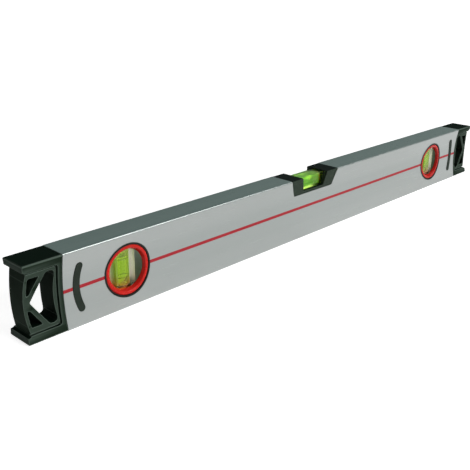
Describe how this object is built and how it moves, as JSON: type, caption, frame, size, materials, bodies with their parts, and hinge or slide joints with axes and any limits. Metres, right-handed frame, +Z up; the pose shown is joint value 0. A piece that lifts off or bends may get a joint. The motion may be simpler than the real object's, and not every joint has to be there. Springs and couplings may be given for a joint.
{
  "type": "box-section spirit level",
  "caption": "Waisted aluminium box-section spirit level with hanging-hole end caps, plumb vials behind round red-ringed windows and a horizontal vial let into its top edge.",
  "frame": {"origin": "middle of the underside of the level", "axes": "+X along the level towards the plugged end of the horizontal vial, +Y from the front side to the back side, +Z up from the underside to the top edge"},
  "size_m": [0.6, 0.0244, 0.057],
  "materials": {
    "anodised_aluminium": "satin silver anodised, with a thin red line painted along the middle of each long side",
    "cap_plastic": "moulded black, fine texture",
    "lock_plastic": "soft matt black",
    "bezel_plastic": "moulded black",
    "housing_plastic": "moulded black, slightly glossy",
    "red_plastic": "moulded red, semi-gloss",
    "clear_acrylic": "clear, polished",
    "seal_rubber": "red-brown, smooth",
    "line_black": "thin black lacquered ring",
    "bubble_air": "air in liquid"
  },
  "bodies": {
    "level": {"box_profile": "anodised_aluminium", "left_end_cap": "cap_plastic", "right_end_cap": "cap_plastic", "left_front_cap_lock": "lock_plastic", "left_back_cap_lock": "lock_plastic", "right_front_cap_lock": "lock_plastic", "right_back_cap_lock": "lock_plastic", "left_front_bezel": "bezel_plastic", "left_back_bezel": "bezel_plastic", "right_front_bezel": "bezel_plastic", "right_back_bezel": "bezel_plastic", "left_front_red_ring": "red_plastic", "left_back_red_ring": "red_plastic", "right_front_red_ring": "red_plastic", "right_back_red_ring": "red_plastic", "left_vial_carrier": "bezel_plastic", "right_vial_carrier": "bezel_plastic", "left_vial_block": "clear_acrylic", "right_vial_block": "clear_acrylic", "centre_vial_block": "clear_acrylic", "left_vial_plug": "clear_acrylic", "right_vial_plug": "clear_acrylic", "centre_vial_plug": "clear_acrylic", "left_vial_seal": "seal_rubber", "right_vial_seal": "seal_rubber", "centre_vial_seal": "seal_rubber", "left_upper_line_ring": "line_black", "left_lower_line_ring": "line_black", "right_upper_line_ring": "line_black", "right_lower_line_ring": "line_black", "centre_left_line_ring": "line_black", "centre_right_line_ring": "line_black", "centre_vial_housing": "housing_plastic", "centre_vial_retainer": "housing_plastic"},
    "left_vial_bubble": {"left_bubble": "bubble_air"},
    "right_vial_bubble": {"right_bubble": "bubble_air"},
    "centre_vial_bubble": {"centre_bubble": "bubble_air"}
  },
  "joints": [
    {"name": "left_bubble_rise", "type": "slide", "parent": "level", "child": "left_vial_bubble", "axis": [0, 0, 1], "range_m": [-0.0212, 0], "stiffness_N_per_m": 1, "springref_m": 0.03},
    {"name": "right_bubble_rise", "type": "slide", "parent": "level", "child": "right_vial_bubble", "axis": [0, 0, 1], "range_m": [-0.0212, 0], "stiffness_N_per_m": 1, "springref_m": 0.03},
    {"name": "centre_bubble_run", "type": "slide", "parent": "level", "child": "centre_vial_bubble", "axis": [1, 0, 0], "range_m": [-0.0064, 0.0064], "stiffness_N_per_m": 0.5}
  ]
}
